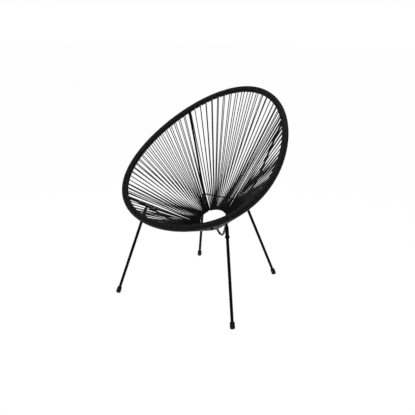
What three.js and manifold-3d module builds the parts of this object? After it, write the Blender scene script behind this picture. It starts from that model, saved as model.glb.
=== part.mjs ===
// Strung lounge chair: an egg-shaped steel hoop, four ribs down to a small ring, four bolted legs, and a
// bucket seat of round cord strung from hoop to ring. Millimetres, +Z up, floor at z = 0, front towards -Y.
import * as THREE from "three";
import { mergeVertices } from "three/addons/utils/BufferGeometryUtils.js";
import Module from "manifold-3d";

const wasm = await Module();
wasm.setup();
const { degToRad } = THREE.MathUtils;

// Fits: the gap between pieces that touch, how far a cut runs past what it cuts, and the weld of shared
// corners.
const SEAT_GAP = 0.3;
const CUT_OVERRUN = 2;
const WELD = 1e-3;

// Hoop: round tube bent to an egg, wide at the front, narrow at the top of the back. Its width and length
// are those of the ellipse that the taper and blunt shares turn into the egg, on the tube's centre line.
const HOOP_TUBE_DIAMETER = 21;
const HOOP_WIDTH = 688.2;
const HOOP_LENGTH = 880.6;
const HOOP_HEIGHT = 647.3;
const HOOP_TILT = degToRad(33.02);
const HOOP_TAPER_SHARE = -0.1829;
const HOOP_BLUNT_SHARE = 0.0473;

// Centre ring: round rod at the bottom of the bowl, a little behind the hoop's middle.
const RING_ROD_DIAMETER = 8;
const RING_DIAMETER = 137.6;
const RING_HEIGHT = 321;
const RING_SETBACK = 28.1;
const RING_TILT = degToRad(27.3);

// Cord: what it measures, how many equal steps its pairs of strands take along each stretch between two
// ribs, and how many separately wound fans a stretch is made of. At the back and the front one more pair
// lies close beside each rib. A strand's flat sides stand in by this share of its radius.
const CORD_DIAMETER = 4.2;
const CORD_FLAT_SHARE = 0.76;
const BACK_STEPS = 20;
const SIDE_STEPS = 23;
const FRONT_STEPS = 19;
const FANS_PER_STRETCH = 4;
const RIB_PAIR_OFFSET = 8.8;
const RIB_SLOT_ANGLE = degToRad(12);

// Ribs: round rod from hoop to ring. Each is a cubic curve whose two inner control points lie at a share of
// the way to the ring, at a drop below the cords and at a shift along the hoop towards the back.
const RIB_ROD_DIAMETER = 10;
const RIB_COUNT = 4;
const BACK_RIB = {
  hoopTurn: degToRad(54.76),
  reachShares: [0.583, 0.626],
  drops: [38, 79.6],
  shifts: [6, -6],
  legShare: 0.796,
};
const FRONT_RIB = {
  hoopTurn: degToRad(138.59),
  reachShares: [0.361, 1.095],
  drops: [-1.8, 93.6],
  shifts: [-5, 7],
  legShare: 0.224,
};

// Legs: round tube from the floor to a socket under each rib, placed by where its axis meets the floor.
const LEG_DIAMETER = 13;
const LEG_WALL = 1.2;
const BACK_FOOT = { aside: 223.2, ahead: 253.3 };
const FRONT_FOOT = { aside: 306.9, ahead: -316.6 };

// Sockets: a sleeve round the top of the leg, a cone, and a neck that is welded under the rib.
const SOCKET_WALL = 1;
const SOCKET_SLEEVE_LENGTH = 46;
const SOCKET_CONE_LENGTH = 10;
const SOCKET_NECK_LENGTH = 9.5;
const SOCKET_NECK_DIAMETER = 10;
const SOCKET_BORE_DEPTH = 42;
const SOCKET_EDGE = 0.5;
const SADDLE_DEPTH = 2.5;

// Cross rod: thin rod welded across the back of the two back sockets, this far below the tops of their
// sleeves.
const CROSS_ROD_DIAMETER = 6;
const CROSS_ROD_DROP = 4.5;
const CROSS_ROD_OVERHANG = 4.5;

// Bolts: one through each sleeve and leg, just above the sleeve's mouth.
const BOLT_DIAMETER = 5;
const BOLT_RISE = 7.5;
const BOLT_HEAD_DIAMETER = 8;
const BOLT_HEAD_HEIGHT = 1.7;
const BOLT_HEAD_EDGE = 0.7;
const BOLT_TAIL = 0.3;
const NUT_SIDES = 6;
const NUT_WIDTH = 8;
const NUT_HEIGHT = 1.7;

// Foot caps: moulded caps in line with the leg, with a domed end that is cut level where it stands.
const CAP_HEIGHT = 31;
const CAP_DIAMETER = 22;
const CAP_TOP_DIAMETER = 21;
const CAP_CHAMFER = 3;
const CAP_DOME_HEIGHT = 6;
const CAP_FLOOR = 5;
const CAP_FLAT_DEPTH = 0.6;

// Faceting: sides of each round section and steps along each curve.
const HOOP_SIDES = 8;
const RING_SIDES = 8;
const RING_STEPS = 48;
const RIB_SIDES = 8;
const RIB_STEPS = 22;
const ROUND_SIDES = 12;
const BOLT_SIDES = 8;
const DOME_STEPS = 3;
const CORD_SIDES = 4;
const CORD_TURN_STEPS = 3;
const ARC_SAMPLES = 600;
const SMALL_ANGLE = 1e-4;

const HOOP_TUBE_RADIUS = HOOP_TUBE_DIAMETER / 2;
const CORD_RADIUS = CORD_DIAMETER / 2;
const RIB_RADIUS = RIB_ROD_DIAMETER / 2;
const RING_ROD_RADIUS = RING_ROD_DIAMETER / 2;
const SOCKET_RADIUS = LEG_DIAMETER / 2 + SEAT_GAP + SOCKET_WALL;
const BACK_PAIRS = BACK_STEPS + 1;
const SIDE_PAIRS = SIDE_STEPS - 1;
const FRONT_PAIRS = FRONT_STEPS + 1;
const TOTAL_PAIRS = BACK_PAIRS + FRONT_PAIRS + 2 * SIDE_PAIRS;
const PAIR_ANGLE = (2 * Math.PI - RIB_COUNT * RIB_SLOT_ANGLE) / TOTAL_PAIRS;
const BACK_RIB_RING_TURN = (BACK_PAIRS * PAIR_ANGLE + RIB_SLOT_ANGLE) / 2;
const FRONT_RIB_RING_TURN = Math.PI - (FRONT_PAIRS * PAIR_ANGLE + RIB_SLOT_ANGLE) / 2;

const finish = (color, roughness, metalness) =>
  new THREE.MeshStandardMaterial({ color, roughness, metalness });
const coatedSteel = () => finish("#1b1b1c", 0.42, 0.35);
const blackCord = () => finish("#171718", 0.55, 0);
const blackFastener = () => finish("#222223", 0.4, 0.6);
const capPlastic = () => finish("#121212", 0.7, 0);

// A closed geometry as a solid that can be joined and cut, and back again.
function toSolid(geometry) {
  const bare = geometry.clone();
  bare.deleteAttribute("normal");
  bare.deleteAttribute("uv");
  const welded = mergeVertices(bare, WELD);
  return new wasm.Manifold(
    new wasm.Mesh({
      numProp: 3,
      vertProperties: new Float32Array(welded.attributes.position.array),
      triVerts: new Uint32Array(welded.index.array),
    }),
  );
}

function toGeometry(solid) {
  const mesh = solid.getMesh();
  const geometry = new THREE.BufferGeometry();
  geometry.setAttribute("position", new THREE.BufferAttribute(mesh.vertProperties, 3));
  geometry.setIndex(new THREE.BufferAttribute(mesh.triVerts, 1));
  geometry.computeVertexNormals();
  return geometry;
}

function meshOf(name, shape, material) {
  const geometry = shape.isBufferGeometry ? shape : toGeometry(shape);
  const mesh = new THREE.Mesh(geometry, material);
  mesh.name = name;
  return mesh;
}

// The skin over a row of rings of points. The row is closed on itself, or ends in flat faces.
function skin(rings, closed) {
  const around = rings[0].length;
  const spans = closed ? rings.length : rings.length - 1;
  const faces = [];
  for (let i = 0; i < spans; i += 1) {
    const here = i * around;
    const next = ((i + 1) % rings.length) * around;
    for (let k = 0; k < around; k += 1) {
      const turn = (k + 1) % around;
      faces.push(here + k, here + turn, next + turn);
      faces.push(here + k, next + turn, next + k);
    }
  }
  const last = (rings.length - 1) * around;
  for (let k = 1; k < around - 1 && !closed; k += 1) {
    faces.push(0, k + 1, k);
    faces.push(last, last + k, last + k + 1);
  }
  const geometry = new THREE.BufferGeometry().setFromPoints(rings.flat());
  geometry.setIndex(faces);
  return geometry;
}

// A solid of revolution about Z from [radius, height] pairs.
function revolve(profile, sides = ROUND_SIDES) {
  const outline = profile.map(([radius, height]) => new THREE.Vector2(radius, height));
  return new THREE.LatheGeometry(outline, sides).rotateX(Math.PI / 2);
}

function roundRod(radius, length, sides = ROUND_SIDES) {
  return new THREE.CylinderGeometry(radius, radius, length, sides).rotateX(Math.PI / 2);
}

// Places on the two centre lines. Both turns count from the back, towards the sitter's left (+X).
function hoopPoint(turn) {
  const back = Math.cos(turn);
  const taper = 1 + HOOP_TAPER_SHARE * back + HOOP_BLUNT_SHARE * back * back;
  const along = (HOOP_LENGTH / 2) * back;
  return new THREE.Vector3(
    (HOOP_WIDTH / 2) * Math.sin(turn) * taper,
    along * Math.cos(HOOP_TILT),
    HOOP_HEIGHT + along * Math.sin(HOOP_TILT),
  );
}

function ringPoint(turn) {
  const along = (RING_DIAMETER / 2) * Math.cos(turn);
  return new THREE.Vector3(
    (RING_DIAMETER / 2) * Math.sin(turn),
    RING_SETBACK + along * Math.cos(RING_TILT),
    RING_HEIGHT + along * Math.sin(RING_TILT),
  );
}

function tangentOf(place, turn) {
  return place(turn + SMALL_ANGLE).sub(place(turn - SMALL_ANGLE)).normalize();
}

// A ruler along a stretch of the hoop: its whole length, and the turn at a length from its start.
function rulerAlong(from, to) {
  const turns = [from];
  const lengths = [0];
  for (let i = 1; i <= ARC_SAMPLES; i += 1) {
    turns.push(THREE.MathUtils.lerp(from, to, i / ARC_SAMPLES));
    lengths.push(lengths[i - 1] + hoopPoint(turns[i]).distanceTo(hoopPoint(turns[i - 1])));
  }
  const turnAt = (wanted) => {
    const i = Math.max(1, lengths.findIndex((length) => length >= wanted));
    const part = (wanted - lengths[i - 1]) / (lengths[i] - lengths[i - 1]);
    return THREE.MathUtils.lerp(turns[i - 1], turns[i], part);
  };
  return { whole: lengths[ARC_SAMPLES], turnAt };
}

// A station of the hoop: its place, the run of the cords from here to the ring, and the way up out of the
// seat.
function stationAt(hoopTurn, ringTurn) {
  const at = hoopPoint(hoopTurn);
  const run = ringPoint(ringTurn).sub(at).normalize();
  const tangent = tangentOf(hoopPoint, hoopTurn);
  const up = run.clone().cross(tangent).normalize();
  const lean = 1 / tangent.clone().cross(up).dot(run);
  return { at, run, up, tangent, lean };
}

// The outline of a round section at a station, cut along the cords' run, so that the faces of the hoop, of
// the winding on it and of its ends all lie along the cords.
function hoopSection(station, radius, shift = 0) {
  const middle = station.at.clone().addScaledVector(station.tangent, shift);
  return Array.from({ length: HOOP_SIDES }, (_, k) => {
    const angle = ((k + 0.5) / HOOP_SIDES) * 2 * Math.PI;
    return middle
      .clone()
      .addScaledVector(station.up, radius * Math.cos(angle))
      .addScaledVector(station.run, radius * Math.sin(angle) * station.lean);
  });
}

// The four stretches of cord between neighbouring ribs. The stations of each lie at its two ends and midway
// between its pairs of strands, and a pair keeps how far it lies between the two stations beside it.
const STRETCHES = [
  {
    name: "back",
    steps: BACK_STEPS,
    closeToRibs: true,
    hoop: [-BACK_RIB.hoopTurn, BACK_RIB.hoopTurn],
    ring: [-BACK_RIB_RING_TURN, BACK_RIB_RING_TURN],
  },
  {
    name: "left",
    steps: SIDE_STEPS,
    closeToRibs: false,
    hoop: [BACK_RIB.hoopTurn, FRONT_RIB.hoopTurn],
    ring: [BACK_RIB_RING_TURN, FRONT_RIB_RING_TURN],
  },
  {
    name: "front",
    steps: FRONT_STEPS,
    closeToRibs: true,
    hoop: [FRONT_RIB.hoopTurn, 2 * Math.PI - FRONT_RIB.hoopTurn],
    ring: [FRONT_RIB_RING_TURN, 2 * Math.PI - FRONT_RIB_RING_TURN],
  },
  {
    name: "right",
    steps: SIDE_STEPS,
    closeToRibs: false,
    hoop: [-FRONT_RIB.hoopTurn, -BACK_RIB.hoopTurn],
    ring: [-FRONT_RIB_RING_TURN, -BACK_RIB_RING_TURN],
  },
].map((stretch) => {
  const { whole, turnAt } = rulerAlong(...stretch.hoop);
  const step = whole / stretch.steps;
  const places = Array.from({ length: stretch.steps - 1 }, (_, k) => (k + 1) * step);
  if (stretch.closeToRibs) {
    places.unshift(RIB_PAIR_OFFSET);
    places.push(whole - RIB_PAIR_OFFSET);
  }
  const edges = [0, ...places.slice(1).map((place, k) => (place + places[k]) / 2), whole];
  const ringTurnAt = (k) => stretch.ring[0] + RIB_SLOT_ANGLE / 2 + k * PAIR_ANGLE;
  const stations = edges.map((edge, k) => {
    if (k === 0) {
      return stationAt(turnAt(edge), stretch.ring[0]);
    }
    if (k === places.length) {
      return stationAt(turnAt(edge), stretch.ring[1]);
    }
    return stationAt(turnAt(edge), ringTurnAt(k));
  });
  const pairs = places.map((place, k) => ({
    share: (place - edges[k]) / (edges[k + 1] - edges[k]),
    ringTurn: ringTurnAt(k + 0.5),
  }));
  return { ...stretch, stations, pairs };
});

// Hoop tube, with one section at each station. Grown by a gap, it also cuts the ribs' upper ends.
function hoopTube(radius) {
  const stations = STRETCHES.flatMap((stretch) => stretch.stations.slice(0, -1));
  return skin(stations.map((station) => hoopSection(station, radius)), true);
}

function centreRing(radius) {
  return new THREE.TorusGeometry(RING_DIAMETER / 2, radius, RING_SIDES, RING_STEPS)
    .rotateX(RING_TILT)
    .translate(0, RING_SETBACK, RING_HEIGHT);
}

// Winding on a stretch of the hoop: an open-ended sleeve over the tube.
function windingSleeve(stations) {
  const flatShare = Math.cos(Math.PI / HOOP_SIDES);
  const areaShare = Math.sqrt((2 * Math.PI) / HOOP_SIDES / Math.sin((2 * Math.PI) / HOOP_SIDES));
  const outer = (HOOP_TUBE_RADIUS + CORD_DIAMETER) * areaShare;
  const inner = HOOP_TUBE_RADIUS + SEAT_GAP / flatShare;
  const shiftOf = (i) => {
    if (i === 0) {
      return SEAT_GAP / 2;
    }
    return i === stations.length - 1 ? -SEAT_GAP / 2 : 0;
  };
  const sectionsOf = (radius) =>
    stations.map((station, i) => hoopSection(station, radius, shiftOf(i) * station.lean));
  const outside = sectionsOf(outer).reverse();
  const inside = sectionsOf(inner);
  const strips = Array.from({ length: HOOP_SIDES }, (_, k) => [
    ...inside.map((section) => section[k]),
    ...outside.map((section) => section[k]),
  ]);
  return skin(strips, true);
}

// One pair of strands: out from the winding, over the ring, round its inner side and back under to the
// winding. Each section is a flat-sided outline with one side along the hoop or the ring.
const TURN_STEP = Math.PI / CORD_TURN_STEPS;
const CORD_HALF = CORD_RADIUS * CORD_FLAT_SHARE;
const RING_TURN_RADIUS = (RING_ROD_RADIUS + SEAT_GAP + CORD_HALF) / Math.cos(TURN_STEP / 2);
const HOOP_LEAVE_RADIUS = HOOP_TUBE_RADIUS + CORD_RADIUS;

function cordSection(middle, out, side) {
  const cornerRadius = CORD_HALF / Math.cos(Math.PI / CORD_SIDES);
  return Array.from({ length: CORD_SIDES }, (_, k) => {
    const angle = ((k + 0.5) / CORD_SIDES) * 2 * Math.PI;
    return middle
      .clone()
      .addScaledVector(out, cornerRadius * Math.cos(angle))
      .addScaledVector(side, cornerRadius * Math.sin(angle));
  });
}

function cordPair(before, after, { share, ringTurn }) {
  const ringMiddle = ringPoint(ringTurn);
  const hoopMiddle = before.at.clone().lerp(after.at, share);
  const run = ringMiddle.clone().sub(hoopMiddle).normalize();
  const hoopUp = before.up.clone().lerp(after.up, share).normalize();
  const hoopSide = run.clone().cross(hoopUp).normalize();
  const start = hoopMiddle.clone().addScaledVector(run, -CORD_RADIUS / 2);
  const ringTangent = tangentOf(ringPoint, ringTurn);
  const ringUp = run.clone().cross(ringTangent).normalize();
  const lean = 1 / ringTangent.clone().cross(ringUp).dot(run);
  const ringSide = ringTangent.clone().multiplyScalar(-lean);
  const hoopEnd = (way) => {
    const out = hoopUp.clone().multiplyScalar(way);
    return cordSection(start.clone().addScaledVector(out, HOOP_LEAVE_RADIUS), out, hoopSide);
  };
  const turns = Array.from({ length: CORD_TURN_STEPS + 1 }, (_, i) => {
    const angle = i * TURN_STEP;
    const out = ringUp
      .clone()
      .multiplyScalar(Math.cos(angle))
      .addScaledVector(run, lean * Math.sin(angle));
    const atEnd = i === 0 || i === CORD_TURN_STEPS;
    const mitre = 1 / Math.cos(atEnd ? TURN_STEP / 4 : TURN_STEP / 2);
    return cordSection(
      ringMiddle.clone().addScaledVector(out, RING_TURN_RADIUS),
      out.multiplyScalar(mitre),
      ringSide,
    );
  });
  return skin([hoopEnd(1), ...turns, hoopEnd(-1)], false);
}

// Ribs.
function ribCurve(rib, ringTurn, side) {
  const hoopTurn = side * rib.hoopTurn;
  const from = hoopPoint(hoopTurn);
  const to = ringPoint(side * ringTurn);
  const { run, up } = stationAt(hoopTurn, side * ringTurn);
  const towardsBack = run.clone().cross(up).multiplyScalar(side);
  const [first, second] = [0, 1].map((i) =>
    from
      .clone()
      .lerp(to, rib.reachShares[i])
      .addScaledVector(up, -rib.drops[i])
      .addScaledVector(towardsBack, rib.shifts[i]),
  );
  return new THREE.CubicBezierCurve3(from, first, second, to);
}

function ribRod(curve, radius) {
  const section = new THREE.Shape(
    Array.from({ length: RIB_SIDES }, (_, k) => {
      const angle = (k / RIB_SIDES) * 2 * Math.PI;
      return new THREE.Vector2(radius * Math.cos(angle), radius * Math.sin(angle));
    }),
  );
  return new THREE.ExtrudeGeometry(section, { steps: RIB_STEPS, extrudePath: curve });
}

// Legs: everything on a leg is made round its own axis, with the foot at zero and the bolt along X.
function legFrame(foot, top, side) {
  const axis = top.clone().sub(foot);
  const bolt = new THREE.Vector3(axis.y, -axis.x, 0).multiplyScalar(side * Math.sign(axis.y)).normalize();
  const up = axis.clone().normalize();
  const across = up.clone().cross(bolt);
  const frame = new THREE.Group();
  frame.position.copy(foot);
  frame.quaternion.setFromRotationMatrix(new THREE.Matrix4().makeBasis(bolt, across, up));
  frame.updateMatrixWorld(true);
  return { frame, length: axis.length(), tilt: up.angleTo(new THREE.Vector3(0, 0, 1)) };
}

function socketBody(length) {
  const neckRadius = SOCKET_NECK_DIAMETER / 2;
  const boreRadius = LEG_DIAMETER / 2 + SEAT_GAP;
  const neckFoot = length - SOCKET_NECK_LENGTH;
  const sleeveTop = neckFoot - SOCKET_CONE_LENGTH;
  const mouth = sleeveTop - SOCKET_SLEEVE_LENGTH;
  return revolve([
    [0, mouth + SOCKET_BORE_DEPTH],
    [boreRadius, mouth + SOCKET_BORE_DEPTH],
    [boreRadius, mouth],
    [SOCKET_RADIUS - SOCKET_EDGE, mouth],
    [SOCKET_RADIUS, mouth + SOCKET_EDGE],
    [SOCKET_RADIUS, sleeveTop],
    [neckRadius, neckFoot],
    [neckRadius, length - RIB_RADIUS + SADDLE_DEPTH],
    [0, length - RIB_RADIUS + SADDLE_DEPTH],
  ]);
}

function socketMouth(length) {
  return length - SOCKET_NECK_LENGTH - SOCKET_CONE_LENGTH - SOCKET_SLEEVE_LENGTH;
}

// Where the cross rod's axis passes a socket: behind its sleeve, square to the leg and to the rod.
function rodSeat(frame, length) {
  const up = new THREE.Vector3(0, 0, 1).transformDirection(frame.matrixWorld);
  const behind = up.cross(new THREE.Vector3(1, 0, 0)).normalize();
  const sleeveTop = socketMouth(length) + SOCKET_SLEEVE_LENGTH;
  return new THREE.Vector3(0, 0, sleeveTop - CROSS_ROD_DROP)
    .applyMatrix4(frame.matrixWorld)
    .addScaledVector(behind, SOCKET_RADIUS + SEAT_GAP + CROSS_ROD_DIAMETER / 2);
}

// How far up the leg's axis the cap's dome starts, so that it dips below the floor by the flat's depth.
function domeHeight(tilt) {
  const reach = Math.hypot((CAP_DIAMETER / 2) * Math.sin(tilt), CAP_DOME_HEIGHT * Math.cos(tilt));
  return (reach - CAP_FLAT_DEPTH) / Math.cos(tilt);
}

function capFloorHeight(tilt) {
  return domeHeight(tilt) - CAP_DOME_HEIGHT + CAP_FLOOR;
}

function legTube(length, tilt) {
  const outer = LEG_DIAMETER / 2;
  const inner = outer - LEG_WALL;
  const foot = capFloorHeight(tilt) + SEAT_GAP;
  const top = socketMouth(length) + SOCKET_BORE_DEPTH - SEAT_GAP;
  return revolve([
    [outer, foot],
    [outer, top],
    [inner, top],
    [inner, foot],
    [outer, foot],
  ]);
}

function boltHole(height) {
  const reach = SOCKET_RADIUS + CUT_OVERRUN;
  return roundRod(BOLT_DIAMETER / 2 + SEAT_GAP, 2 * reach, BOLT_SIDES)
    .rotateY(Math.PI / 2)
    .translate(0, 0, height);
}

function legBolt(height) {
  const seat = SOCKET_RADIUS + SEAT_GAP;
  const headRadius = BOLT_HEAD_DIAMETER / 2;
  const tip = -seat - NUT_HEIGHT - BOLT_TAIL;
  const profile = [
    [0, tip],
    [BOLT_DIAMETER / 2, tip],
    [BOLT_DIAMETER / 2, seat],
    [headRadius, seat],
    [headRadius, seat + BOLT_HEAD_HEIGHT - BOLT_HEAD_EDGE],
    [headRadius - BOLT_HEAD_EDGE, seat + BOLT_HEAD_HEIGHT],
    [0, seat + BOLT_HEAD_HEIGHT],
  ];
  return revolve(profile, BOLT_SIDES)
    .rotateY(Math.PI / 2)
    .translate(0, 0, height);
}

function legNut(height) {
  const cornerRadius = NUT_WIDTH / 2 / Math.cos(Math.PI / NUT_SIDES);
  const outline = new THREE.Shape(
    Array.from({ length: NUT_SIDES }, (_, k) => {
      const angle = (k / NUT_SIDES) * 2 * Math.PI;
      return new THREE.Vector2(cornerRadius * Math.cos(angle), cornerRadius * Math.sin(angle));
    }),
  );
  const boreRadius = BOLT_DIAMETER / 2 + SEAT_GAP;
  outline.holes.push(new THREE.Path().absarc(0, 0, boreRadius, 0, 2 * Math.PI, true));
  return new THREE.ExtrudeGeometry(outline, {
    depth: NUT_HEIGHT,
    bevelEnabled: false,
    curveSegments: BOLT_SIDES / 2,
  })
    .rotateY(-Math.PI / 2)
    .translate(-SOCKET_RADIUS - SEAT_GAP, 0, height);
}

function footCap(frame, tilt) {
  const topRadius = CAP_TOP_DIAMETER / 2;
  const boreRadius = LEG_DIAMETER / 2 + SEAT_GAP;
  const domeTop = domeHeight(tilt);
  const top = domeTop - CAP_DOME_HEIGHT + CAP_HEIGHT;
  const dome = Array.from({ length: DOME_STEPS }, (_, k) => {
    const angle = ((k / DOME_STEPS) * Math.PI) / 2;
    return [(CAP_DIAMETER / 2) * Math.sin(angle), domeTop - CAP_DOME_HEIGHT * Math.cos(angle)];
  });
  const cap = revolve([
    ...dome,
    [CAP_DIAMETER / 2, domeTop],
    [topRadius, top - CAP_CHAMFER],
    [topRadius - CAP_CHAMFER, top],
    [boreRadius, top],
    [boreRadius, capFloorHeight(tilt)],
    [0, capFloorHeight(tilt)],
  ]);
  const floorSize = 2 * (CAP_DIAMETER + CAP_HEIGHT);
  const floor = new THREE.BoxGeometry(floorSize, floorSize, floorSize)
    .translate(frame.position.x, frame.position.y, -floorSize / 2)
    .applyMatrix4(frame.matrixWorld.clone().invert());
  return toSolid(cap).subtract(toSolid(floor));
}

// The chair.
const chair = new THREE.Group();
const hoopCut = toSolid(hoopTube(HOOP_TUBE_RADIUS + SEAT_GAP / Math.cos(Math.PI / HOOP_SIDES)));
const ringCut = toSolid(centreRing(RING_ROD_RADIUS + SEAT_GAP / Math.cos(Math.PI / RING_SIDES)));
chair.add(meshOf("hoop_tube", hoopTube(HOOP_TUBE_RADIUS), coatedSteel()));
chair.add(meshOf("centre_ring", centreRing(RING_ROD_RADIUS), coatedSteel()));

const ribCuts = {};
const rodSeats = [];
for (const [end, rib, ringTurn, footPlace] of [
  ["back", BACK_RIB, BACK_RIB_RING_TURN, BACK_FOOT],
  ["front", FRONT_RIB, FRONT_RIB_RING_TURN, FRONT_FOOT],
]) {
  for (const [hand, side] of [["left", 1], ["right", -1]]) {
    const corner = `${end}_${hand}`;
    const curve = ribCurve(rib, ringTurn, side);
    const ribCut = toSolid(ribRod(curve, RIB_RADIUS + SEAT_GAP / Math.cos(Math.PI / RIB_SIDES)));
    const rod = toSolid(ribRod(curve, RIB_RADIUS)).subtract(hoopCut).subtract(ringCut);
    chair.add(meshOf(`${corner}_rib`, rod, coatedSteel()));
    ribCuts[corner] = ribCut;

    const foot = new THREE.Vector3(side * footPlace.aside, footPlace.ahead, 0);
    const joint = curve.getPoint(rib.legShare);
    const { frame, length, tilt } = legFrame(foot, joint, side);
    const toLocal = frame.matrixWorld.clone().invert();
    const localRib = toSolid(toGeometry(ribCut).applyMatrix4(toLocal));
    const boltHeight = socketMouth(length) + BOLT_RISE;
    const hole = toSolid(boltHole(boltHeight));
    const socket = toSolid(socketBody(length)).subtract(localRib).subtract(hole);
    const tube = toSolid(legTube(length, tilt)).subtract(hole);
    frame.add(meshOf(`${corner}_leg_socket`, socket, coatedSteel()));
    frame.add(meshOf(`${corner}_leg`, tube, coatedSteel()));
    frame.add(meshOf(`${corner}_leg_bolt`, legBolt(boltHeight), blackFastener()));
    frame.add(meshOf(`${corner}_leg_nut`, legNut(boltHeight), blackFastener()));
    frame.add(meshOf(`${corner}_foot_cap`, footCap(frame, tilt), capPlastic()));
    chair.add(frame);

    if (end === "back") {
      rodSeats.push(rodSeat(frame, length));
    }
  }
}

const rodLength = rodSeats[0].distanceTo(rodSeats[1]) + 2 * CROSS_ROD_OVERHANG;
const rodShape = roundRod(CROSS_ROD_DIAMETER / 2, rodLength).rotateY(Math.PI / 2);
const crossRod = meshOf("back_cross_rod", rodShape, coatedSteel());
crossRod.position.lerpVectors(rodSeats[0], rodSeats[1], 0.5);
chair.add(crossRod);

// Seat cord: each fan is its stretch of winding with its pairs of strands.
for (const stretch of STRETCHES) {
  const perFan = stretch.pairs.length / FANS_PER_STRETCH;
  for (let fan = 0; fan < FANS_PER_STRETCH; fan += 1) {
    const first = Math.round(fan * perFan);
    const last = Math.round((fan + 1) * perFan);
    let solid = toSolid(windingSleeve(stretch.stations.slice(first, last + 1)));
    for (const cut of Object.values(ribCuts)) {
      solid = solid.subtract(cut);
    }
    for (let k = first; k < last; k += 1) {
      const pair = cordPair(stretch.stations[k], stretch.stations[k + 1], stretch.pairs[k]);
      solid = solid.add(toSolid(pair));
    }
    chair.add(meshOf(`${stretch.name}_cord_${fan + 1}`, solid, blackCord()));
  }
}

// The least gap between neighbouring strands, which is round the inner side of the ring, where they lie
// closest.
const innerPlaces = STRETCHES.flatMap((stretch) => stretch.pairs).map(({ ringTurn }) => {
  const inward = new THREE.Vector3(0, RING_SETBACK, RING_HEIGHT).sub(ringPoint(ringTurn)).normalize();
  return ringPoint(ringTurn).addScaledVector(inward, RING_TURN_RADIUS + CORD_HALF);
});
const steps = innerPlaces.map((place, k) => place.distanceTo(innerPlaces[(k + 1) % innerPlaces.length]));
console.log("least gap between strands, mm:", (Math.min(...steps) - 2 * CORD_HALF).toFixed(2));

export default chair;
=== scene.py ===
from math import cos, pi, radians, sin

import bpy
import numpy as np
from mathutils import Matrix, Vector


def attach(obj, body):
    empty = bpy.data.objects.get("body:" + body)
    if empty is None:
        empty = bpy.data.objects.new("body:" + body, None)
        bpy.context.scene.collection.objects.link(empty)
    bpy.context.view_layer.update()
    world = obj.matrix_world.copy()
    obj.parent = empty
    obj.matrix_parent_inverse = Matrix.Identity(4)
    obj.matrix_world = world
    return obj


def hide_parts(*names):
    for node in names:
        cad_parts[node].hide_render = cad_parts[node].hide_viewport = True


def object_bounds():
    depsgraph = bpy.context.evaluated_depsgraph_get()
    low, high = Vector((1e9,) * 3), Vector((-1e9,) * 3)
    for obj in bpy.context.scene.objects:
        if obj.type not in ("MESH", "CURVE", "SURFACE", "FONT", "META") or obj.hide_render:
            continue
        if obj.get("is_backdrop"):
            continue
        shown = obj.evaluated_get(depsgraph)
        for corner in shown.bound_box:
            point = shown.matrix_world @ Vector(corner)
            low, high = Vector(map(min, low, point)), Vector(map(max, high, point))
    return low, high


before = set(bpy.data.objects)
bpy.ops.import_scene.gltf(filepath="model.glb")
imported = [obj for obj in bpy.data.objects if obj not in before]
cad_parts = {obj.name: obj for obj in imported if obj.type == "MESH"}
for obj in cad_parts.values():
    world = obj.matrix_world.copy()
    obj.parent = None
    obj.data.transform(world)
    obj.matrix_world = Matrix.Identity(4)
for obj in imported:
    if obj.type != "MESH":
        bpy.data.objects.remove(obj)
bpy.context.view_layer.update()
bpy.ops.object.select_all(action="DESELECT")

# Hoop: one length of round steel tube, bent to an egg that is wide at the front and narrow at the top of the
# back. Its ends are butt welded, and the whole frame is powder coated in satin black. The winding of the seat
# cord hides nearly all of it.
HOOP_TUBE_RADIUS = 0.0105
HOOP_WIDTH = 0.6882
HOOP_LENGTH = 0.8806
HOOP_HEIGHT = 0.6473
HOOP_TILT = radians(33.02)
HOOP_TAPER_SHARE = -0.1829
HOOP_BLUNT_SHARE = 0.0473
COAT_COLOUR = (0.0025, 0.0025, 0.0027, 1)
COAT_DUST_COLOUR = (0.005, 0.005, 0.005, 1)
COAT_ROUGHNESS = (0.3, 0.42)
COAT_SHINE = 0.05
COAT_PATCH_SIZE = 0.05
COAT_PEEL_SIZE = 0.0011
COAT_PEEL_DEPTH = 0.00006
PATCH_DETAIL = 4
PATCH_START = 0.35
PATCH_END = 0.75
GRAIN_DETAIL = 2
GRAIN_STRENGTH = 0.6


def hoop_point(turn):
    back = np.cos(turn)
    taper = 1 + HOOP_TAPER_SHARE * back + HOOP_BLUNT_SHARE * back * back
    along = HOOP_LENGTH / 2 * back
    across = HOOP_WIDTH / 2 * np.sin(turn) * taper
    return np.stack([across, along * cos(HOOP_TILT), HOOP_HEIGHT + along * sin(HOOP_TILT)], axis=-1)


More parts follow.
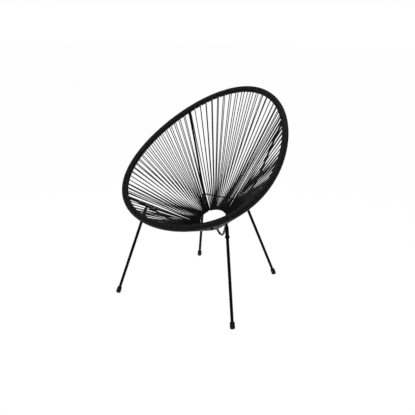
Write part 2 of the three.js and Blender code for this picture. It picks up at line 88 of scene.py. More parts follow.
def mottled_finish(name, colour, dust_colour, roughness, shine, patch_size, grain_size, grain_depth):
    """An even black finish with faint cloudy patches, and a fine grain that catches the light."""
    finish = bpy.data.materials.new(name)
    finish.use_nodes = True
    nodes, links = finish.node_tree.nodes, finish.node_tree.links
    shader = nodes["Principled BSDF"]
    shader.inputs["Specular IOR Level"].default_value = shine
    place = nodes.new("ShaderNodeTexCoord")
    patches = nodes.new("ShaderNodeTexNoise")
    patches.inputs["Scale"].default_value = 1 / patch_size
    patches.inputs["Detail"].default_value = PATCH_DETAIL
    links.new(place.outputs["Object"], patches.inputs["Vector"])
    shades = nodes.new("ShaderNodeValToRGB")
    shades.color_ramp.elements[0].position = PATCH_START
    shades.color_ramp.elements[0].color = colour
    shades.color_ramp.elements[1].position = PATCH_END
    shades.color_ramp.elements[1].color = dust_colour
    links.new(patches.outputs["Fac"], shades.inputs["Fac"])
    links.new(shades.outputs["Color"], shader.inputs["Base Color"])
    gloss = nodes.new("ShaderNodeMapRange")
    gloss.inputs["To Min"].default_value = roughness[0]
    gloss.inputs["To Max"].default_value = roughness[1]
    links.new(patches.outputs["Fac"], gloss.inputs["Value"])
    links.new(gloss.outputs["Result"], shader.inputs["Roughness"])
    grain = nodes.new("ShaderNodeTexNoise")
    grain.inputs["Scale"].default_value = 1 / grain_size
    grain.inputs["Detail"].default_value = GRAIN_DETAIL
    links.new(place.outputs["Object"], grain.inputs["Vector"])
    bump = nodes.new("ShaderNodeBump")
    bump.inputs["Strength"].default_value = GRAIN_STRENGTH
    bump.inputs["Distance"].default_value = grain_depth
    links.new(grain.outputs["Fac"], bump.inputs["Height"])
    links.new(bump.outputs["Normal"], shader.inputs["Normal"])
    return finish


coated_steel = mottled_finish(
    "satin_powder_coat",
    COAT_COLOUR,
    COAT_DUST_COLOUR,
    COAT_ROUGHNESS,
    COAT_SHINE,
    patch_size=COAT_PATCH_SIZE,
    grain_size=COAT_PEEL_SIZE,
    grain_depth=COAT_PEEL_DEPTH,
)
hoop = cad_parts["hoop_tube"]
hoop.data.materials.clear()
hoop.data.materials.append(coated_steel)

# Centre ring: a small ring of 8 mm steel rod at the bottom of the bowl, a little behind the hoop's middle. It
# swells at four places, where a bead of weld joins it to a rib, and it is powder coated with the rest.
RING_ROD_RADIUS = 0.004
RING_DIAMETER = 0.1376
RING_HEIGHT = 0.321
RING_SETBACK = 0.0281
RING_TILT = radians(27.3)
RING_SIDES = 20
RING_STEPS = 180
RIB_SLOT_ANGLE = radians(12)
BACK_PAIRS = 21
SIDE_PAIRS = 22
FRONT_PAIRS = 20
RIB_COUNT = 4
RING_BEAD_STEPS = ((radians(3.4), 1.1), (radians(1.9), 1.08))
PAIR_ANGLE = (2 * pi - RIB_COUNT * RIB_SLOT_ANGLE) / (BACK_PAIRS + FRONT_PAIRS + 2 * SIDE_PAIRS)
BACK_RIB_RING_TURN = (BACK_PAIRS * PAIR_ANGLE + RIB_SLOT_ANGLE) / 2
FRONT_RIB_RING_TURN = pi - (FRONT_PAIRS * PAIR_ANGLE + RIB_SLOT_ANGLE) / 2


def ring_point(turn):
    along = RING_DIAMETER / 2 * np.cos(turn)
    across = RING_DIAMETER / 2 * np.sin(turn)
    back = RING_SETBACK + along * cos(RING_TILT)
    return np.stack([across, back, RING_HEIGHT + along * sin(RING_TILT)], axis=-1)


def pick_points(piece, test):
    """Enters edit mode with only those points selected whose place passes the test."""
    bpy.ops.object.mode_set(mode="EDIT")
    bpy.ops.mesh.select_mode(type="VERT")
    bpy.ops.mesh.select_all(action="DESELECT")
    bpy.ops.object.mode_set(mode="OBJECT")
    for point in piece.data.vertices:
        point.select = test(point.co)
    bpy.ops.object.mode_set(mode="EDIT")


def hang(piece, finish, slot, *nodes):
    """Paints a finished piece and fixes it to the chair's one rigid body, in place of these nodes."""
    piece.data.materials.clear()
    piece.data.materials.append(finish)
    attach(piece, "root")
    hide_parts(*nodes)


bpy.ops.mesh.primitive_torus_add(
    location=(0, RING_SETBACK, RING_HEIGHT),
    rotation=(RING_TILT, 0, 0),
    major_radius=RING_DIAMETER / 2,
    minor_radius=RING_ROD_RADIUS,
    major_segments=RING_STEPS,
    minor_segments=RING_SIDES,
)
ring = bpy.context.object
ring.name = "centre_ring_rod"
bpy.ops.object.transform_apply(location=True, rotation=True, scale=True)
for ring_turn in (BACK_RIB_RING_TURN, FRONT_RIB_RING_TURN, -BACK_RIB_RING_TURN, -FRONT_RIB_RING_TURN):
    joint = Vector(ring_point(ring_turn))
    for half_angle, swell in RING_BEAD_STEPS:
        reach = half_angle * RING_DIAMETER / 2 + RING_ROD_RADIUS
        pick_points(ring, lambda place: (place - joint).length < reach)
        bpy.ops.transform.resize(value=(swell, swell, swell), center_override=joint)
        bpy.ops.object.mode_set(mode="OBJECT")
bpy.ops.object.shade_smooth()
hang(ring, coated_steel, "coated_steel", "centre_ring")

# Ribs: four bent 10 mm steel rods that carry the ring. Each leaves the inner side of the hoop, bows out below
# the cords and ends on the ring, with a fillet of weld at both ends.
RIB_RADIUS = 0.005
RIB_WELD_REACH = 0.0045
RIB_WELD_SWELL_SHARE = 0.55
RIB_STEPS = 96
ROD_BEVEL_STEPS = 6
TANGENT_STEP = 1e-4
BACK_RIB = {
    "hoop_turn": radians(54.76),
    "ring_turn": BACK_RIB_RING_TURN,
    "reach_shares": (0.583, 0.626),
    "drops": (0.038, 0.0796),
    "shifts": (0.006, -0.006),
    "leg_share": 0.796,
}
FRONT_RIB = {
    "hoop_turn": radians(138.59),
    "ring_turn": FRONT_RIB_RING_TURN,
    "reach_shares": (0.361, 1.095),
    "drops": (-0.0018, 0.0936),
    "shifts": (-0.005, 0.007),
    "leg_share": 0.224,
}


def unit(vector):
    return vector / np.linalg.norm(vector, axis=-1, keepdims=True)


def tangent_of(place, turn):
    return unit(place(turn + TANGENT_STEP) - place(turn - TANGENT_STEP))


def cord_frame(hoop_turn, ring_turn):
    """At a turn of the hoop: the tube's middle, the cords' run to the ring, up out of the seat, inwards, and
    along the tube."""
    middle = hoop_point(hoop_turn)
    run = unit(ring_point(ring_turn) - middle)
    tangent = tangent_of(hoop_point, hoop_turn)
    up = unit(np.cross(run, tangent))
    return middle, run, up, unit(np.cross(tangent, up)), tangent


def rib_place(rib, side, share):
    """The rib's cubic curve from hoop to ring, at shares of its way."""
    start = hoop_point(side * rib["hoop_turn"])
    end = ring_point(side * rib["ring_turn"])
    _, run, up, _, _ = cord_frame(side * rib["hoop_turn"], side * rib["ring_turn"])
    to_back = side * np.cross(run, up)
    first, second = (
        start + (end - start) * reach - up * drop + to_back * shift
        for reach, drop, shift in zip(rib["reach_shares"], rib["drops"], rib["shifts"])
    )
    share = np.atleast_1d(share)[:, None]
    rest = 1 - share
    return start * rest**3 + 3 * first * share * rest**2 + 3 * second * share**2 * rest + end * share**3


def rod_along(name, places, radius, swells=None, bevel_steps=ROD_BEVEL_STEPS):
    """A round rod along a line of places, with its radius times a swell at each."""
    line = bpy.data.curves.new(name, "CURVE")
    line.dimensions = "3D"
    line.bevel_depth = radius
    line.bevel_resolution = bevel_steps
    line.use_fill_caps = True
    spline = line.splines.new("POLY")
    spline.points.add(len(places) - 1)
    spline.points.foreach_set("co", np.column_stack([places, np.ones(len(places))]).ravel())
    if swells is not None:
        spline.points.foreach_set("radius", swells)
    rod = bpy.data.objects.new(name, line)
    bpy.context.collection.objects.link(rod)
    bpy.ops.object.select_all(action="DESELECT")
    rod.select_set(True)
    bpy.context.view_layer.objects.active = rod
    bpy.ops.object.convert(target="MESH")
    rod.data.name = name
    return rod


for end_name, rib in (("back", BACK_RIB), ("front", FRONT_RIB)):
    for hand, side in (("left", 1), ("right", -1)):
        places = rib_place(rib, side, np.linspace(0, 1, RIB_STEPS + 1))
        from_hoop = np.linalg.norm(places - places[0], axis=1) - HOOP_TUBE_RADIUS
        from_ring = np.linalg.norm(places - places[-1], axis=1) - RING_ROD_RADIUS
        nearest = np.clip(np.minimum(from_hoop, from_ring) / RIB_WELD_REACH, 0, 1)
        swells = 1 + RIB_WELD_SWELL_SHARE * (1 - nearest) ** 2
        rod = rod_along(f"{end_name}_{hand}_rib_rod", places, RIB_RADIUS, swells)
        hang(rod, coated_steel, "coated_steel", f"{end_name}_{hand}_rib")

# Leg sockets: turned steel sleeves that take the tops of the legs. A cone narrows each to a neck, whose end
# is welded up against the rib, and the sleeve's mouth has its edge taken off.
LEG_RADIUS = 0.0065
SEAT_GAP = 0.0003
SOCKET_RADIUS = 0.0078
SOCKET_SLEEVE_LENGTH = 0.046
SOCKET_CONE_LENGTH = 0.01
SOCKET_NECK_LENGTH = 0.0095
SOCKET_NECK_RADIUS = 0.005
SOCKET_BORE_DEPTH = 0.042
SOCKET_EDGE = 0.0005
SOCKET_BEAD = 0.0014
SADDLE_DEPTH = 0.0025
SOCKET_LENGTH = SOCKET_SLEEVE_LENGTH + SOCKET_CONE_LENGTH + SOCKET_NECK_LENGTH
BACK_FOOT = (0.2232, 0.2533)
FRONT_FOOT = (0.3069, -0.3166)
SOCKET_CONE_TURN = pi / 5
SOCKET_BEAD_STEPS = 7
TURNED_STEPS = 40
ARC_STEPS = 5
MERGE_DISTANCE = 1e-6
SMOOTH_ANGLE = radians(32)


def turned(name, outline, steps=TURNED_STEPS):
    """A closed outline of (radius, height) points, spun round the upright axis."""
    profile = bpy.data.meshes.new(name)
    points = [(radius, 0, height) for radius, height in outline]
    edges = [(k, k + 1) for k in range(len(points) - 1)]
    profile.from_pydata(points, edges, [])
    piece = bpy.data.objects.new(name, profile)
    bpy.context.collection.objects.link(piece)
    bpy.ops.object.select_all(action="DESELECT")
    piece.select_set(True)
    bpy.context.view_layer.objects.active = piece
    pick_points(piece, lambda place: True)
    bpy.ops.mesh.spin(steps=steps, angle=2 * pi, center=(0, 0, 0), axis=(0, 0, 1))
    bpy.ops.mesh.select_all(action="SELECT")
    bpy.ops.mesh.remove_doubles(threshold=MERGE_DISTANCE)
    bpy.ops.mesh.normals_make_consistent(inside=False)
    bpy.ops.object.mode_set(mode="OBJECT")
    bpy.ops.object.shade_smooth_by_angle(angle=SMOOTH_ANGLE)
    return piece


def arc(middle, radius, start, end, steps=ARC_STEPS):
    """Points on a round edge of a turned piece."""
    return [
        (middle[0] + radius * cos(start + (end - start) * k / steps),
         middle[1] + radius * sin(start + (end - start) * k / steps))
        for k in range(steps + 1)
    ]


def copy_to(pattern, name, place):
    """A copy of a piece with its own mesh, moved to its place on the chair."""
    piece = pattern.copy()
    piece.data = pattern.data.copy()
    piece.name = name
    piece.data.name = name
    bpy.context.collection.objects.link(piece)
    piece.data.transform(place)
    return piece


def leg_frame(rib, foot, side):
    """The leg's frame, with the foot at zero, the bolt along X and the leg along Z, and the leg's length."""
    low = Vector((side * foot[0], foot[1], 0))
    top = Vector(rib_place(rib, side, rib["leg_share"])[0])
    axis = top - low
    bolt = (Vector((axis.y, -axis.x, 0)) * side * (1 if axis.y > 0 else -1)).normalized()
    up = axis.normalized()
    across = up.cross(bolt)
    turned_frame = Matrix((bolt, across, up)).transposed().to_4x4()
    return Matrix.Translation(low) @ turned_frame, axis.length


LEGS = [
    (f"{end_name}_{hand}", *leg_frame(rib, foot, side))
    for end_name, rib, foot in (("back", BACK_RIB, BACK_FOOT), ("front", FRONT_RIB, FRONT_FOOT))
    for hand, side in (("left", 1), ("right", -1))
]
bore_radius = LEG_RADIUS + SEAT_GAP
edge_middle = SOCKET_RADIUS - SOCKET_EDGE
cone_top = SOCKET_SLEEVE_LENGTH + SOCKET_CONE_LENGTH
neck_top = SOCKET_LENGTH - RIB_RADIUS + SADDLE_DEPTH
bead_middle = (SOCKET_NECK_RADIUS - SOCKET_BEAD / 2, neck_top - SOCKET_BEAD)
socket = turned(
    "leg_socket",
    [
        (0, SOCKET_BORE_DEPTH),
        (bore_radius, SOCKET_BORE_DEPTH),
        (bore_radius, SOCKET_EDGE / 2),
        (bore_radius + SOCKET_EDGE / 2, 0),
        *arc((edge_middle, SOCKET_EDGE), SOCKET_EDGE, -pi / 2, 0),
        *arc((edge_middle, SOCKET_SLEEVE_LENGTH), SOCKET_EDGE, 0, SOCKET_CONE_TURN),
        *arc((SOCKET_NECK_RADIUS + SOCKET_EDGE, cone_top), SOCKET_EDGE, pi + SOCKET_CONE_TURN, pi),
        (SOCKET_NECK_RADIUS, neck_top - 2 * SOCKET_BEAD),
        *arc(bead_middle, SOCKET_BEAD, -pi / 4, pi / 2, SOCKET_BEAD_STEPS),
        (0, neck_top),
    ],
)
for corner, place, length in LEGS:
    mouth = Matrix.Translation((0, 0, length - SOCKET_LENGTH))
    piece = copy_to(socket, f"{corner}_socket_sleeve", place @ mouth)
    hang(piece, coated_steel, "coated_steel", f"{corner}_leg_socket")
bpy.data.objects.remove(socket)

# Cross rod: a thin straight rod across the back of the two back sockets. It keeps them from spreading, and it
# is welded to the top of each sleeve with a small bead.
CROSS_ROD_RADIUS = 0.003
CROSS_ROD_DROP = 0.0045
CROSS_ROD_OVERHANG = 0.0045
CROSS_BEAD_REACH = 0.005
CROSS_BEAD_SWELL_SHARE = 0.35
CROSS_ROD_STEPS = 160
sleeve_drop = SOCKET_NECK_LENGTH + SOCKET_CONE_LENGTH
seats = []
for corner, place, length in LEGS[:2]:
    up = (place.to_3x3() @ Vector((0, 0, 1))).normalized()
    behind = up.cross(Vector((1, 0, 0))).normalized()
    middle = place @ Vector((0, 0, length - sleeve_drop - CROSS_ROD_DROP))
    seats.append(middle + behind * (SOCKET_RADIUS + SEAT_GAP + CROSS_ROD_RADIUS))
overhang = (seats[0] - seats[1]).normalized() * CROSS_ROD_OVERHANG
rod_ends = np.array([seats[0] + overhang, seats[1] - overhang])
shares = np.linspace(0, 1, CROSS_ROD_STEPS + 1)[:, None]
places = rod_ends[0] * (1 - shares) + rod_ends[1] * shares
from_seats = np.minimum(*(np.linalg.norm(places - np.array(seat), axis=1) for seat in seats))
swells = 1 + CROSS_BEAD_SWELL_SHARE * np.clip(1 - from_seats / CROSS_BEAD_REACH, 0, 1)
cross_rod = rod_along("back_cross_rod_bar", places, CROSS_ROD_RADIUS, swells)
hang(cross_rod, coated_steel, "coated_steel", "back_cross_rod")

# Seat cord: round cord of soft black plastic, here in sixteen lengths that meet on the hoop. Each leaves the
# top of the hoop, runs taut over the ring and back under it to the bottom of the hoop, and is wound round the
# hoop, turn against turn, to the next pair of strands.
CORD_RADIUS = 0.0021
CORD_BEVEL_STEPS = 2
FANS_PER_STRETCH = 4
BACK_STEPS = 20
LEFT_STEPS = 21
FRONT_STEPS = 20
RIGHT_STEPS = 22
RIB_PAIR_OFFSET = 0.0078
CORD_SLOT_ANGLE = radians(9)
WINDING_PITCH = 2 * CORD_RADIUS
STEPS_PER_TURN = 20
RING_TURN_STEPS = 10
ARC_SAMPLES = 4000
RIB_CLEARANCE = 0.0055
RIB_SIDE_TURN = 0.25
RIB_FACE_START = 0.25
RIB_FACE_BLEND = 0.4
TUCK_ANGLE = radians(50)
TUCK_RADII = 4
TUCK_STEPS = 6
CLOSE_RIB_REACH = 0.012
WIDE_RIB_REACH = 0.025
CLOSE_SPLIT = 0.0021
WIDE_SPLIT = 0.0032
LEFT_GROWTH_SHARE = -0.16
FRONT_GROWTH_SHARE = -0.16
RIGHT_GROWTH_SHARE = 0.12
HAND_STRUNG_SPREAD = 0.0006
HAND_STRUNG_SEED = 7
CORD_COLOUR = (0.004, 0.004, 0.0043, 1)
CORD_DUST_COLOUR = (0.009, 0.009, 0.0093, 1)
CORD_ROUGHNESS = (0.36, 0.5)
CORD_SHINE = 0.2
CORD_PATCH_SIZE = 0.03
CORD_GRAIN_SIZE = 0.0006
CORD_GRAIN_DEPTH = 0.00003
soft_plastic = mottled_finish(
    "extruded_black_plastic",
    CORD_COLOUR,
    CORD_DUST_COLOUR,
    CORD_ROUGHNESS,
    CORD_SHINE,
    patch_size=CORD_PATCH_SIZE,
    grain_size=CORD_GRAIN_SIZE,
    grain_depth=CORD_GRAIN_DEPTH,
)
chance = np.random.default_rng(HAND_STRUNG_SEED)


def stretch_of(
    name,
    steps,
    hoop_turns,
    ring_turns,
    close=(True, True),
    growth=0,
    split=CLOSE_SPLIT,
    way=1,
    cut=(False, False),
):
    """A stretch of seat between two ribs, with the places of its pairs of strands as lengths along the hoop. It
    may have a pair close to the rib at each end, and its steps grow towards its far end. The pairs are strung
    one way along it, 1 with the hoop's turn or -1 against it, and the cord may be cut at each end."""
    samples = np.linspace(*hoop_turns, ARC_SAMPLES)
    lengths = np.append(0, np.cumsum(np.linalg.norm(np.diff(hoop_point(samples), axis=0), axis=1)))
    whole = lengths[-1]
    shares = np.arange(1, steps) / steps
    spots = (shares - growth * shares * (1 - shares)) * whole
    spots = np.concatenate([[RIB_PAIR_OFFSET] * close[0], spots, [whole - RIB_PAIR_OFFSET] * close[1]])
    start, end = CORD_RADIUS * cut[0], whole - CORD_RADIUS * cut[1]
    edges = np.concatenate([[start], (spots[1:] + spots[:-1]) / 2, [end]])
    pair_angle = (ring_turns[1] - ring_turns[0] - CORD_SLOT_ANGLE) / len(spots)
    pair_turns = ring_turns[0] + CORD_SLOT_ANGLE / 2 + (np.arange(len(spots)) + 0.5) * pair_angle
    knots = np.concatenate([[0], spots, [whole]])
    ring_knots = np.concatenate([[ring_turns[0]], pair_turns, [ring_turns[1]]])

    def place_at(length):
        return cord_frame(np.interp(length, lengths, samples), np.interp(length, knots, ring_knots))

    spots = spots + chance.uniform(-1, 1, len(spots)) * HAND_STRUNG_SPREAD
    return {
        "name": name,
        "whole": whole,
        "edges": edges,
        "pair_turns": pair_turns,
        "place_at": place_at,
        "spots": spots,
        "leaves": spots - way * split / 2,
        "returns": spots + way * split / 2,
        "way": way,
        "cut_ends": [edge for edge, is_cut in zip((edges[0], edges[-1]), cut) if is_cut],
        "rib_reaches": [CLOSE_RIB_REACH if is_close else WIDE_RIB_REACH for is_close in close],
    }


def winding(stretch, start, end, start_angle, turns):
    """Winding round the hoop between two lengths along it. Its angle is zero on top of the hoop and grows
    towards the ring. Turns that meet a rib are pushed aside where they face it."""
    steps = max(2, round(abs(turns) * STEPS_PER_TURN))
    shares = np.linspace(0, 1, steps + 1)
    angle = (start_angle + 2 * pi * turns * shares)[:, None]
    length = start + (end - start) * shares
    middle, _, up, inward, tangent = stretch["place_at"](length)
    from_end = stretch["whole"] - length
    near_reach, far_reach = stretch["rib_reaches"]
    near_share = np.clip(1 - length / near_reach, 0, 1)
    far_share = np.clip(1 - from_end / far_reach, 0, 1)
    push = RIB_CLEARANCE * (near_share - far_share)
    facing_rib = np.clip((np.sin(angle[:, 0]) - RIB_FACE_START) / RIB_FACE_BLEND, 0, 1)
    aside = tangent * (push * facing_rib)[:, None]
    return middle + aside + (up * np.cos(angle) + inward * np.sin(angle)) * (HOOP_TUBE_RADIUS + CORD_RADIUS)


def round_the_ring(stretch, pair):
    """The half turn of a pair of strands round the far side of the ring's rod, from over it to under it."""
    ring_turn = stretch["pair_turns"][pair]
    _, run, _, _, _ = stretch["place_at"](stretch["spots"][pair])
    tangent = tangent_of(ring_point, ring_turn)
    up = unit(np.cross(run, tangent))
    lean = 1 / np.dot(np.cross(tangent, up), run)
    angle = np.linspace(0, pi, RING_TURN_STEPS + 1)[:, None]
    out = up * np.cos(angle) + run * lean * np.sin(angle)
    return ring_point(ring_turn) + out * (RING_ROD_RADIUS + CORD_RADIUS)


def tucked_end(stretch, length, sense):
    """The cut end of the cord on the outer side of the hoop beside a rib, pushed into a small hole in the
    tube. The sense is 1 for the last end of a length of cord and -1 for its first."""
    shares = np.linspace(0, 1, TUCK_STEPS + 1)[1:, None]
    angle = sense * TUCK_ANGLE * shares - pi / 2
    radius = HOOP_TUBE_RADIUS + CORD_RADIUS * (1 - TUCK_RADII * shares * shares)
    middle, _, up, inward, _ = stretch["place_at"](length)
    return middle + (up * np.cos(angle) + inward * np.sin(angle)) * radius


def turns_on(stretch, pair, next_pair, covered):
    """The turns of winding on a covered length of the hoop, between two pairs that follow on each other or
    beside a rib, where there is no next pair."""
    if min(pair, next_pair) < 0 or max(pair, next_pair) >= len(stretch["spots"]):
        return int(covered / WINDING_PITCH) + 1 + RIB_SIDE_TURN
    gap = abs(stretch["leaves"][next_pair] - stretch["returns"][pair])
    return (round(gap / WINDING_PITCH - 0.5) + 0.5) * covered / gap


STRETCHES = [
    stretch_of(
        "back",
        BACK_STEPS,
        (-BACK_RIB["hoop_turn"], BACK_RIB["hoop_turn"]),
        (-BACK_RIB_RING_TURN, BACK_RIB_RING_TURN),
        cut=(True, True),
    ),
    stretch_of(
        "left",
        LEFT_STEPS,
        (BACK_RIB["hoop_turn"], FRONT_RIB["hoop_turn"]),
        (BACK_RIB_RING_TURN, FRONT_RIB_RING_TURN),
        growth=LEFT_GROWTH_SHARE,
        split=WIDE_SPLIT,
        way=-1,
        cut=(True, False),
    ),
    stretch_of(
        "front",
        FRONT_STEPS,
        (FRONT_RIB["hoop_turn"], 2 * pi - FRONT_RIB["hoop_turn"]),
        (FRONT_RIB_RING_TURN, 2 * pi - FRONT_RIB_RING_TURN),
        close=(True, False),
        growth=FRONT_GROWTH_SHARE,
        way=-1,
    ),
    stretch_of(
        "right",
        RIGHT_STEPS,
        (-FRONT_RIB["hoop_turn"], -BACK_RIB["hoop_turn"]),
        (-FRONT_RIB_RING_TURN, -BACK_RIB_RING_TURN),
        close=(True, False),
        growth=RIGHT_GROWTH_SHARE,
        split=WIDE_SPLIT,
        way=-1,
        cut=(False, True),
    ),
]
for stretch in STRETCHES:
    edges, leaves, returns, way = (stretch[key] for key in ("edges", "leaves", "returns", "way"))
    pairs = len(leaves)
    fan_edges = [int(pairs * fan / FANS_PER_STRETCH + 0.5) for fan in range(FANS_PER_STRETCH + 1)]
    for fan, (first, last) in enumerate(zip(fan_edges, fan_edges[1:])):
        order = list(range(first, last))[::way]
        near_edge, far_edge = (edges[first], edges[last])[::way]
        pair = order[0]
        turns = turns_on(stretch, pair - way, pair, abs(leaves[pair] - near_edge))
        route = [winding(stretch, near_edge, leaves[pair], -2 * pi * turns, turns)]
        for pair, next_pair in zip(order, order[1:]):
            route.append(round_the_ring(stretch, pair))
            turns = turns_on(stretch, pair, next_pair, abs(leaves[next_pair] - returns[pair]))
            route.append(winding(stretch, returns[pair], leaves[next_pair], pi, turns))
        pair = order[-1]
        route.append(round_the_ring(stretch, pair))
        turns = turns_on(stretch, pair, pair + way, abs(far_edge - returns[pair]))
        route.append(winding(stretch, returns[pair], far_edge, pi, turns))
        if near_edge in stretch["cut_ends"]:
            route.insert(0, tucked_end(stretch, near_edge, -1)[::-1])
        if far_edge in stretch["cut_ends"]:
            route.append(tucked_end(stretch, far_edge, 1))
        cord_name = f"{stretch['name']}_strung_cord_{fan + 1}"
        cord = rod_along(cord_name, np.concatenate(route), CORD_RADIUS, bevel_steps=CORD_BEVEL_STEPS)
        hang(cord, soft_plastic, "seat_cord", f"{stretch['name']}_cord_{fan + 1}")

# Legs: straight steel tubes with thin walls, coated like the frame. Each slides up into its socket, where its
# bolt holds it, and down into its foot cap.
LEG_WALL = 0.0012
CAP_RADIUS = 0.011
CAP_TOP_RADIUS = 0.0105
CAP_HEIGHT = 0.031
CAP_CHAMFER = 0.003
CAP_DOME_HEIGHT = 0.006
CAP_FLOOR = 0.005
CAP_FLAT_DEPTH = 0.0006


def dome_height(place):
    """How far up the leg the cap's dome starts, so that it dips below the floor by the depth of the flat."""
    upright = (place.to_3x3() @ Vector((0, 0, 1))).z
    sideways = (1 - upright * upright) ** 0.5
    reach = ((CAP_RADIUS * sideways) ** 2 + (CAP_DOME_HEIGHT * upright) ** 2) ** 0.5
    return (reach - CAP_FLAT_DEPTH) / upright


for corner, place, length in LEGS:
    low = dome_height(place) - CAP_DOME_HEIGHT + CAP_FLOOR + SEAT_GAP
    high = length - SOCKET_LENGTH + SOCKET_BORE_DEPTH - SEAT_GAP
    bpy.ops.object.select_all(action="DESELECT")
    bpy.ops.mesh.primitive_cylinder_add(
        vertices=TURNED_STEPS,
        radius=LEG_RADIUS,
        depth=high - low,
        end_fill_type="NOTHING",
        location=(0, 0, (high + low) / 2),
    )
    leg = bpy.context.object
    leg.name = f"{corner}_leg_tube"
    bpy.ops.object.transform_apply(location=True, rotation=True, scale=True)
    wall = leg.modifiers.new("wall", "SOLIDIFY")
    wall.thickness = LEG_WALL
    wall.offset = -1
    wall.use_even_offset = True
    bpy.ops.object.modifier_apply(modifier="wall")
    bpy.ops.object.shade_smooth_by_angle(angle=SMOOTH_ANGLE)
    leg.data.transform(place)
    hang(leg, coated_steel, "coated_steel", f"{corner}_leg")

# Leg bolts: a button-head bolt goes through each sleeve and the leg in it, just above the sleeve's mouth, and a
# plain six-sided nut holds it. Both are black, a shade brighter than the coat.
BOLT_RADIUS = 0.0025
BOLT_RISE = 0.0075
BOLT_HEAD_RADIUS = 0.004
BOLT_HEAD_HEIGHT = 0.0017
BOLT_HEAD_ROUND = 0.0013
BOLT_KEY_RADIUS = 0.0016
BOLT_KEY_DEPTH = 0.0013
BOLT_TAIL = 0.0003
NUT_WIDTH = 0.008
NUT_HEIGHT = 0.0017
NUT_CHAMFER = 0.0004
NUT_EDGE_STEPS = 2
BOLT_STEPS = 24
BOLT_ROUND_STEPS = 6
black_oxide = mottled_finish(
    "black_oxide",
    (0.004, 0.004, 0.0042, 1),
    (0.008, 0.008, 0.0084, 1),
    roughness=(0.28, 0.4),
    shine=0.2,
    patch_size=0.008,
    grain_size=0.0007,
    grain_depth=0.00003,
)
key_floor = BOLT_HEAD_HEIGHT - BOLT_KEY_DEPTH
round_middle = (BOLT_HEAD_RADIUS - BOLT_HEAD_ROUND, BOLT_HEAD_HEIGHT - BOLT_HEAD_ROUND)
bolt_end = -2 * SOCKET_RADIUS - NUT_HEIGHT - BOLT_TAIL - 2 * SEAT_GAP
bolt = turned(
    "leg_bolt",
    [
        (0, key_floor),
        (BOLT_KEY_RADIUS, key_floor),
        (BOLT_KEY_RADIUS, BOLT_HEAD_HEIGHT),
        *arc(round_middle, BOLT_HEAD_ROUND, pi / 2, 0, BOLT_ROUND_STEPS),
        (BOLT_HEAD_RADIUS, 0),
        (BOLT_RADIUS, 0),
        (BOLT_RADIUS, bolt_end + NUT_CHAMFER),
        (BOLT_RADIUS - NUT_CHAMFER, bolt_end),
        (0, bolt_end),
    ],
    BOLT_STEPS,
)
bpy.ops.object.select_all(action="DESELECT")
bpy.ops.mesh.primitive_cylinder_add(
    vertices=6,
    radius=NUT_WIDTH / 2 / cos(pi / 6),
    depth=NUT_HEIGHT,
    location=(0, 0, -NUT_HEIGHT / 2),
)
nut = bpy.context.object
nut.name = "leg_nut"
bpy.ops.object.transform_apply(location=True, rotation=True, scale=True)
edge = nut.modifiers.new("edge", "BEVEL")
edge.width = NUT_CHAMFER
edge.segments = NUT_EDGE_STEPS
bpy.ops.object.modifier_apply(modifier="edge")
bpy.ops.object.shade_smooth_by_angle(angle=SMOOTH_ANGLE)
for corner, place, length in LEGS:
    height = length - SOCKET_LENGTH + BOLT_RISE
    lying = Matrix.Rotation(pi / 2, 4, "Y")
    head = Matrix.Translation((SOCKET_RADIUS + SEAT_GAP, 0, height)) @ lying
    tail = Matrix.Translation((-SOCKET_RADIUS - SEAT_GAP, 0, height)) @ lying
    piece = copy_to(bolt, f"{corner}_bolt", place @ head)
    hang(piece, black_oxide, "black_fastener", f"{corner}_leg_bolt")
    piece = copy_to(nut, f"{corner}_nut", place @ tail)
    hang(piece, black_oxide, "black_fastener", f"{corner}_leg_nut")
bpy.data.objects.remove(bolt)
bpy.data.objects.remove(nut)

# Foot caps: moulded caps of soft black plastic, pushed on the ends of the legs. Each has a chamfered top and a
# domed end, worn flat and level where it stands on the floor.
DOME_STEPS = 12
matte_plastic = mottled_finish(
    "moulded_black_plastic",
    (0.003, 0.003, 0.003, 1),
    (0.006, 0.006, 0.006, 1),
    roughness=(0.42, 0.58),
    shine=0.2,
    patch_size=0.012,
    grain_size=0.0005,
    grain_depth=0.00005,
)
for corner, place, length in LEGS:
    dome_top = dome_height(place)
    floor_top = dome_top - CAP_DOME_HEIGHT + CAP_FLOOR
    top = dome_top - CAP_DOME_HEIGHT + CAP_HEIGHT
    dome_angles = [k / DOME_STEPS * pi / 2 for k in range(DOME_STEPS + 1)]
    dome = [(CAP_RADIUS * sin(angle), dome_top - CAP_DOME_HEIGHT * cos(angle)) for angle in dome_angles]
    cap = turned(
        f"{corner}_cap",
        [
            *dome,
            (CAP_TOP_RADIUS, top - CAP_CHAMFER),
            (CAP_TOP_RADIUS - CAP_CHAMFER, top),
            (LEG_RADIUS + SEAT_GAP, top),
            (LEG_RADIUS + SEAT_GAP, floor_top),
            (0, floor_top),
        ],
    )
    cap.data.transform(place)
    pick_points(cap, lambda point: True)
    bpy.ops.mesh.bisect(plane_co=(0, 0, 0), plane_no=(0, 0, 1), use_fill=True, clear_inner=True)
    bpy.ops.object.mode_set(mode="OBJECT")
    hang(cap, matte_plastic, "cap_plastic", f"{corner}_foot_cap")

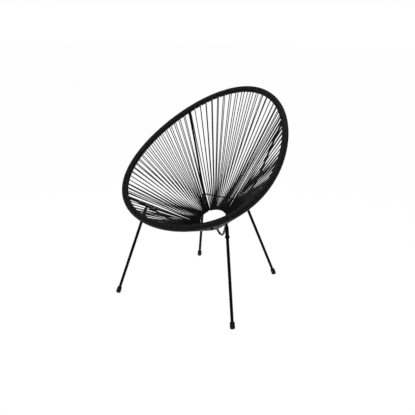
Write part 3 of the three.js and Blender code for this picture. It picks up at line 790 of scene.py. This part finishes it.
# Studio: a wide white floor and an even white room. The camera sees both as plain white, but for a trace of
# the shadow on the floor.
FLOOR_SIZE = 60
FLOOR_COLOUR = (0.8, 0.8, 0.8, 1)
FLOOR_GLOW = 0.985
FLOOR_SHADOW_COLOUR = (0.03, 0.03, 0.03, 1)
BACKDROP_COLOUR = (1, 1, 1, 1)
ROOM_LIGHT = 0.55
bpy.ops.object.select_all(action="DESELECT")
bpy.ops.mesh.primitive_plane_add(size=FLOOR_SIZE)
floor = bpy.context.object
floor.name = "studio_floor"
paper = bpy.data.materials.new("white_paper")
paper.use_nodes = True
nodes, links = paper.node_tree.nodes, paper.node_tree.links
nodes.remove(nodes["Principled BSDF"])
ray = nodes.new("ShaderNodeLightPath")
seen = nodes.new("ShaderNodeMath")
seen.operation = "MAXIMUM"
seen_too = nodes.new("ShaderNodeMath")
seen_too.operation = "MAXIMUM"
links.new(ray.outputs["Is Camera Ray"], seen.inputs[0])
links.new(ray.outputs["Is Glossy Ray"], seen.inputs[1])
links.new(seen.outputs["Value"], seen_too.inputs[0])
links.new(ray.outputs["Is Transmission Ray"], seen_too.inputs[1])
plain = nodes.new("ShaderNodeBsdfDiffuse")
plain.inputs["Color"].default_value = FLOOR_COLOUR
faint = nodes.new("ShaderNodeBsdfDiffuse")
faint.inputs["Color"].default_value = FLOOR_SHADOW_COLOUR
glow = nodes.new("ShaderNodeEmission")
glow.inputs["Strength"].default_value = FLOOR_GLOW
white = nodes.new("ShaderNodeAddShader")
links.new(faint.outputs["BSDF"], white.inputs[0])
links.new(glow.outputs["Emission"], white.inputs[1])
mix = nodes.new("ShaderNodeMixShader")
links.new(seen_too.outputs["Value"], mix.inputs["Fac"])
links.new(plain.outputs["BSDF"], mix.inputs[1])
links.new(white.outputs["Shader"], mix.inputs[2])
links.new(mix.outputs["Shader"], nodes["Material Output"].inputs["Surface"])
floor.data.materials.append(paper)
floor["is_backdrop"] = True
room = bpy.data.worlds.new("studio_room")
room.use_nodes = True
bpy.context.scene.world = room
nodes, links = room.node_tree.nodes, room.node_tree.links
nodes["Background"].inputs["Strength"].default_value = ROOM_LIGHT
backdrop = nodes.new("ShaderNodeBackground")
backdrop.inputs["Color"].default_value = BACKDROP_COLOUR
ray = nodes.new("ShaderNodeLightPath")
seen = nodes.new("ShaderNodeMath")
seen.operation = "MAXIMUM"
links.new(ray.outputs["Is Camera Ray"], seen.inputs[0])
links.new(ray.outputs["Is Transmission Ray"], seen.inputs[1])
mix = nodes.new("ShaderNodeMixShader")
links.new(seen.outputs["Value"], mix.inputs["Fac"])
links.new(nodes["Background"].outputs["Background"], mix.inputs[1])
links.new(backdrop.outputs["Background"], mix.inputs[2])
links.new(mix.outputs["Shader"], nodes["World Output"].inputs["Surface"])

# Lights: three large soft boxes, to the left and right of the camera and overhead. All of them face the middle
# of the chair.
AIM = Vector((0.0719, -0.1351, 0.4338))
SOFT_BOXES = (
    ("left_box", (-1.6, -1.9, 1.9), 1.3, 34),
    ("right_box", (2.3, -0.6, 1.4), 1.2, 16),
    ("top_box", (0.2, 0.4, 2.7), 1.8, 26),
)
for name, spot, size, power in SOFT_BOXES:
    light = bpy.data.lights.new(name, "AREA")
    light.shape = "SQUARE"
    light.size = size
    light.energy = power
    box = bpy.data.objects.new(name, light)
    bpy.context.collection.objects.link(box)
    box.location = spot
    box.rotation_euler = (AIM - Vector(spot)).to_track_quat("-Z", "Y").to_euler()

# Camera: at about chest height, in front of the chair and to the sitter's left. Its place and lens were fitted
# to the hoop, ring and feet of the photo.
CAMERA_AZIMUTH = radians(32.09)
CAMERA_ELEVATION = radians(18.39)
CAMERA_DISTANCE = 2.352
CAMERA_SENSOR_WIDTH = 36
CAMERA_LENS = 47.15
view_data = bpy.data.cameras.new("view")
view_data.sensor_width = CAMERA_SENSOR_WIDTH
view_data.lens = CAMERA_LENS
view = bpy.data.objects.new("view", view_data)
bpy.context.collection.objects.link(view)
outwards = Vector((
    sin(CAMERA_AZIMUTH) * cos(CAMERA_ELEVATION),
    -cos(CAMERA_AZIMUTH) * cos(CAMERA_ELEVATION),
    sin(CAMERA_ELEVATION),
))
view.location = AIM + outwards * CAMERA_DISTANCE
view.rotation_euler = (-outwards).to_track_quat("-Z", "Y").to_euler()
bpy.context.scene.camera = view
bpy.context.scene.view_settings.view_transform = "Standard"

low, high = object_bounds()
